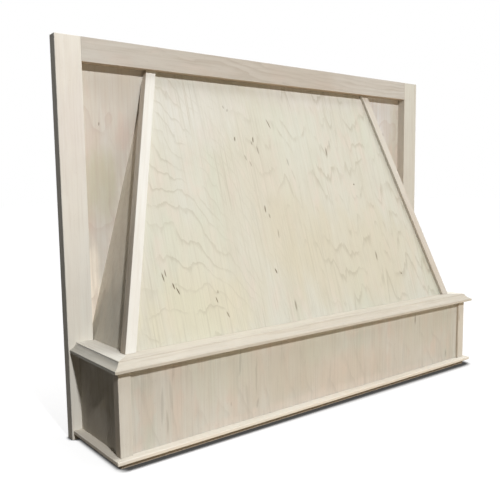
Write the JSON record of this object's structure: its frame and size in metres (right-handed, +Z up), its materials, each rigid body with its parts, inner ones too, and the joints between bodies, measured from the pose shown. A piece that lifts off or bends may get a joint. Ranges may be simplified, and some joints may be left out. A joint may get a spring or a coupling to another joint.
{
  "type": "wooden range hood cover",
  "caption": "Unfinished wooden range hood cover: face frame with a recessed back, a tapered sloping front with battens, a mitred mantle ledge and a shallow open box for a hood liner.",
  "frame": {"origin": "middle of the bottom of the cover's bounding box, at the level of the stiles' lower ends", "axes": "+X to the right seen from the front, +Y back towards the wall, +Z up"},
  "size_m": [0.9144, 0.21, 0.664],
  "materials": {
    "frame_maple": "raw sanded",
    "panel_veneer": "raw sanded veneer",
    "batten_maple": "raw sanded",
    "moulding_maple": "raw sanded",
    "box_veneer": "raw sanded veneer",
    "inner_softwood": "sawn",
    "screw_steel": "zinc plated"
  },
  "bodies": {
    "root": {"apron_panel": "box_veneer", "back_panel_screws": "screw_steel", "base_strip_front": "moulding_maple", "body_foot_cleat": "inner_softwood", "box_side_screws": "screw_steel", "frame_dowels": "inner_softwood", "front_panel": "panel_veneer", "hanging_rail": "inner_softwood", "hanging_rail_screws": "screw_steel", "head_cleat": "inner_softwood", "head_cleat_screws": "screw_steel", "ledge_blocks": "inner_softwood", "ledge_front": "moulding_maple", "left_back_panel": "panel_veneer", "left_base_strip_side": "moulding_maple", "left_batten": "batten_maple", "left_body_back_cleat": "inner_softwood", "left_body_panel_cleat": "inner_softwood", "left_body_side": "panel_veneer", "left_box_side": "box_veneer", "left_corner_block": "inner_softwood", "left_corner_post": "batten_maple", "left_ledge_side": "moulding_maple", "left_liner_ledger_side": "inner_softwood", "left_lower_cleat": "inner_softwood", "left_plinth_side": "inner_softwood", "left_stile": "frame_maple", "liner_ledger_front": "inner_softwood", "lower_cleat_screws": "screw_steel", "plinth_front": "inner_softwood", "right_back_panel": "panel_veneer", "right_base_strip_side": "moulding_maple", "right_batten": "batten_maple", "right_body_back_cleat": "inner_softwood", "right_body_panel_cleat": "inner_softwood", "right_body_side": "panel_veneer", "right_box_side": "box_veneer", "right_corner_block": "inner_softwood", "right_corner_post": "batten_maple", "right_ledge_side": "moulding_maple", "right_liner_ledger_side": "inner_softwood", "right_lower_cleat": "inner_softwood", "right_plinth_side": "inner_softwood", "right_stile": "frame_maple", "top_rail": "frame_maple"}
  },
  "joints": []
}
